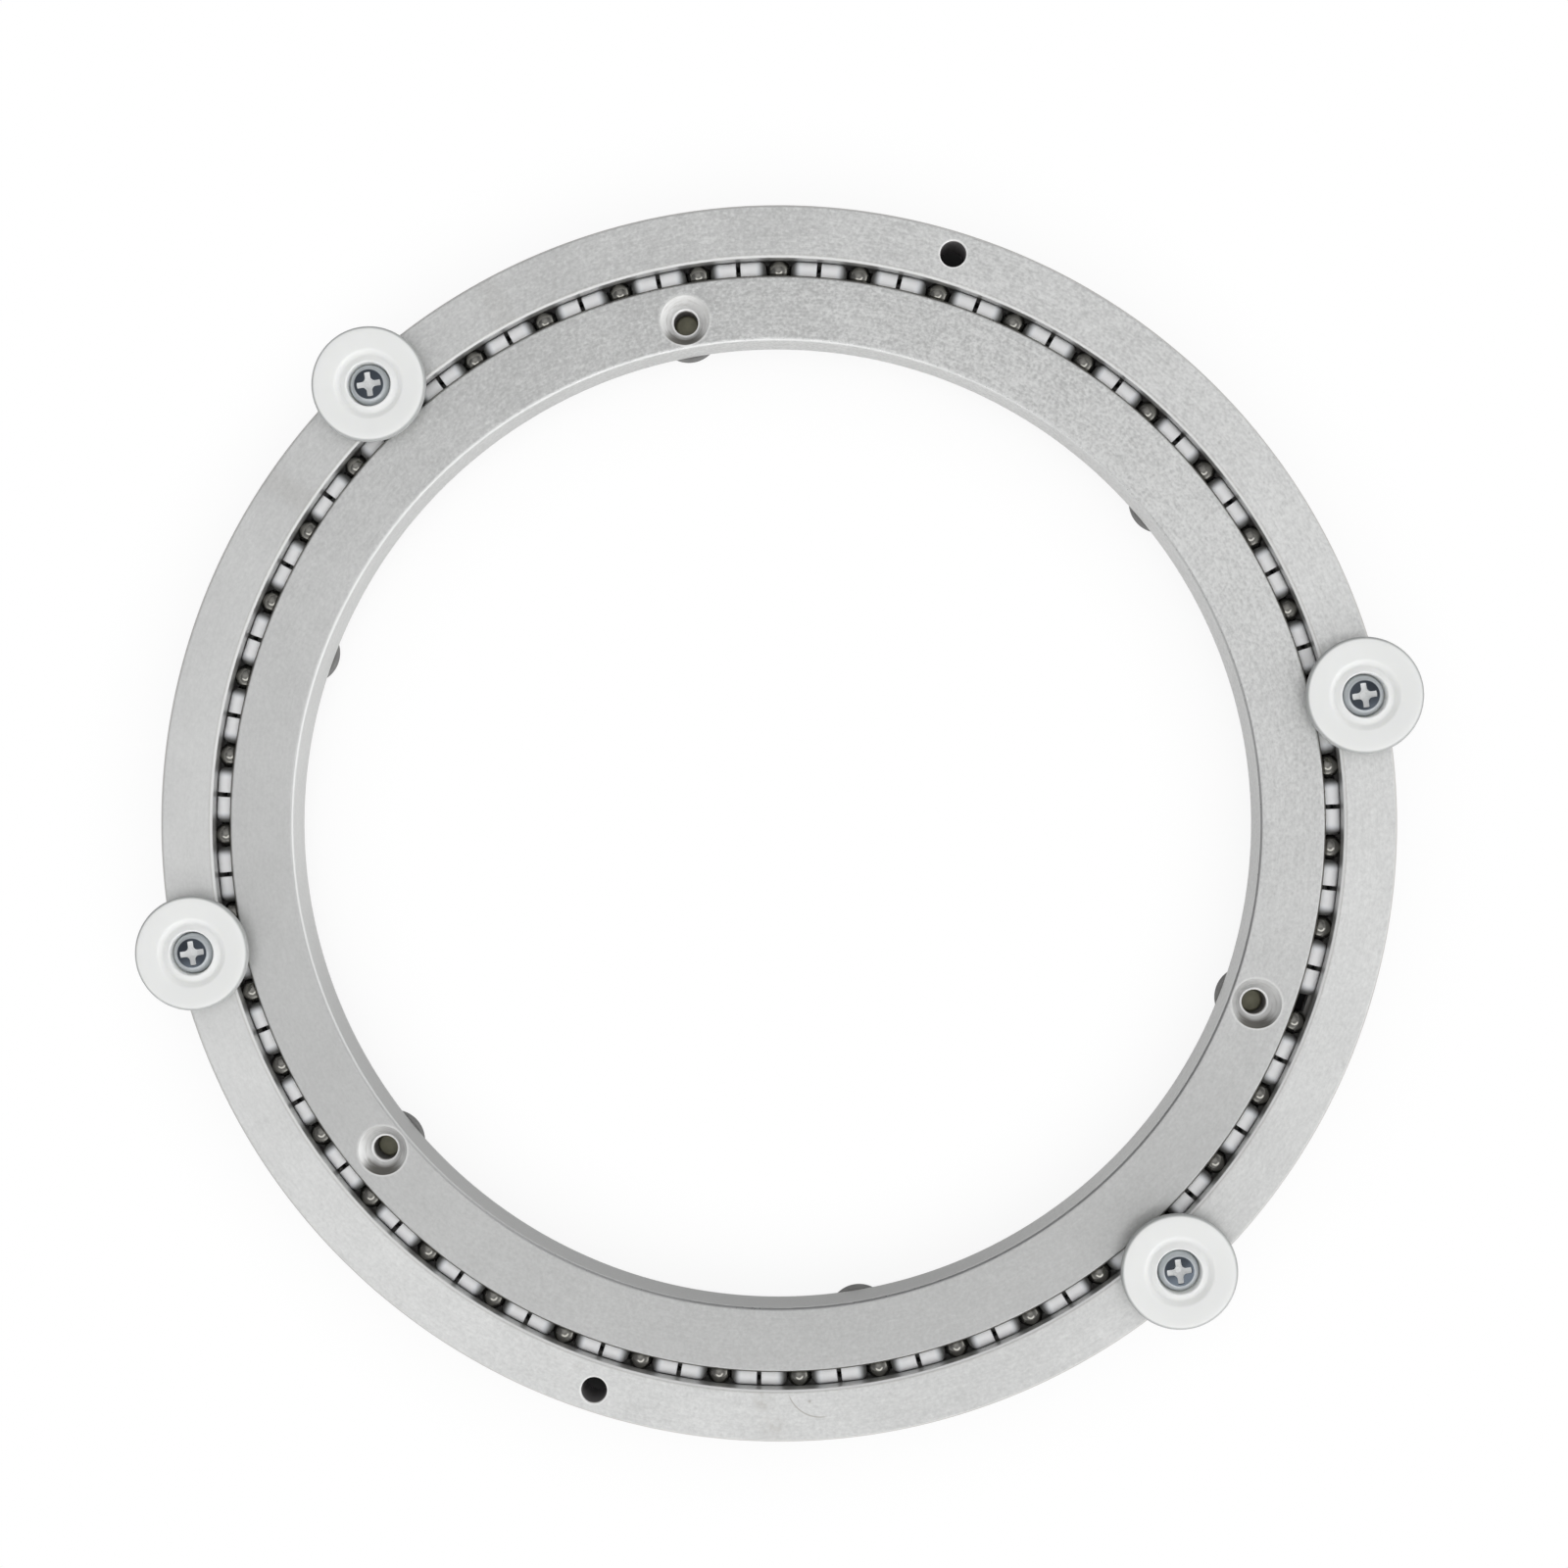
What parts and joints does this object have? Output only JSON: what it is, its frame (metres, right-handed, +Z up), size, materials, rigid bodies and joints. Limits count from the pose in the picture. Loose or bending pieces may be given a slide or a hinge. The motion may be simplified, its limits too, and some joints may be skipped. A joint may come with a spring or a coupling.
{
  "type": "lazy susan bearing",
  "caption": "Flat aluminium ring bearing for a turntable: the outer ring turns on a train of steel balls and plastic spacers, with soft cups on top and rubber feet below.",
  "frame": {"origin": "on the bearing's axis, in the plane of the feet's undersides", "axes": "+Z up along the axis of rotation; +X through the free screw holes of the outer ring"},
  "size_m": [0.3, 0.3, 0.0165],
  "materials": {
    "ring": "satin, fine turned grain",
    "ball": "polished",
    "spacer": "moulded, matte",
    "cup": "soft, milky, satin",
    "screw": "dark plated",
    "foot": "matte"
  },
  "bodies": {
    "base": {"inner_ring": "ring", "foot_1": "foot", "foot_2": "foot", "foot_3": "foot", "foot_4": "foot", "foot_5": "foot", "foot_6": "foot"},
    "turning_ring": {"outer_ring": "ring", "cup_1": "cup", "cup_2": "cup", "cup_3": "cup", "cup_4": "cup", "screw_1": "screw", "screw_2": "screw", "screw_3": "screw", "screw_4": "screw"},
    "ball_train": {"balls": "ball", "spacer_01": "spacer", "spacer_02": "spacer", "spacer_03": "spacer", "spacer_04": "spacer", "spacer_05": "spacer", "spacer_06": "spacer", "spacer_07": "spacer", "spacer_08": "spacer", "spacer_09": "spacer", "spacer_10": "spacer", "spacer_11": "spacer", "spacer_12": "spacer", "spacer_13": "spacer", "spacer_14": "spacer", "spacer_15": "spacer", "spacer_16": "spacer", "spacer_17": "spacer", "spacer_18": "spacer", "spacer_19": "spacer", "spacer_20": "spacer", "spacer_21": "spacer", "spacer_22": "spacer", "spacer_23": "spacer", "spacer_24": "spacer", "spacer_25": "spacer", "spacer_26": "spacer", "spacer_27": "spacer", "spacer_28": "spacer", "spacer_29": "spacer", "spacer_30": "spacer", "spacer_31": "spacer", "spacer_32": "spacer", "spacer_33": "spacer", "spacer_34": "spacer", "spacer_35": "spacer", "spacer_36": "spacer", "spacer_37": "spacer", "spacer_38": "spacer", "spacer_39": "spacer", "spacer_40": "spacer", "spacer_41": "spacer", "spacer_42": "spacer", "spacer_43": "spacer"}
  },
  "joints": [
    {"name": "ring_turn", "type": "hinge", "parent": "base", "child": "turning_ring", "pos_m": [0, 0, 0.0075], "axis": [0, 0, 1], "continuous": true},
    {"name": "train_turn", "type": "hinge", "parent": "base", "child": "ball_train", "pos_m": [0, 0, 0.0075], "axis": [0, 0, 1], "continuous": true}
  ],
  "couplings": [
    {"joint": "train_turn", "follows": "ring_turn", "ratio": 0.5111}
  ]
}
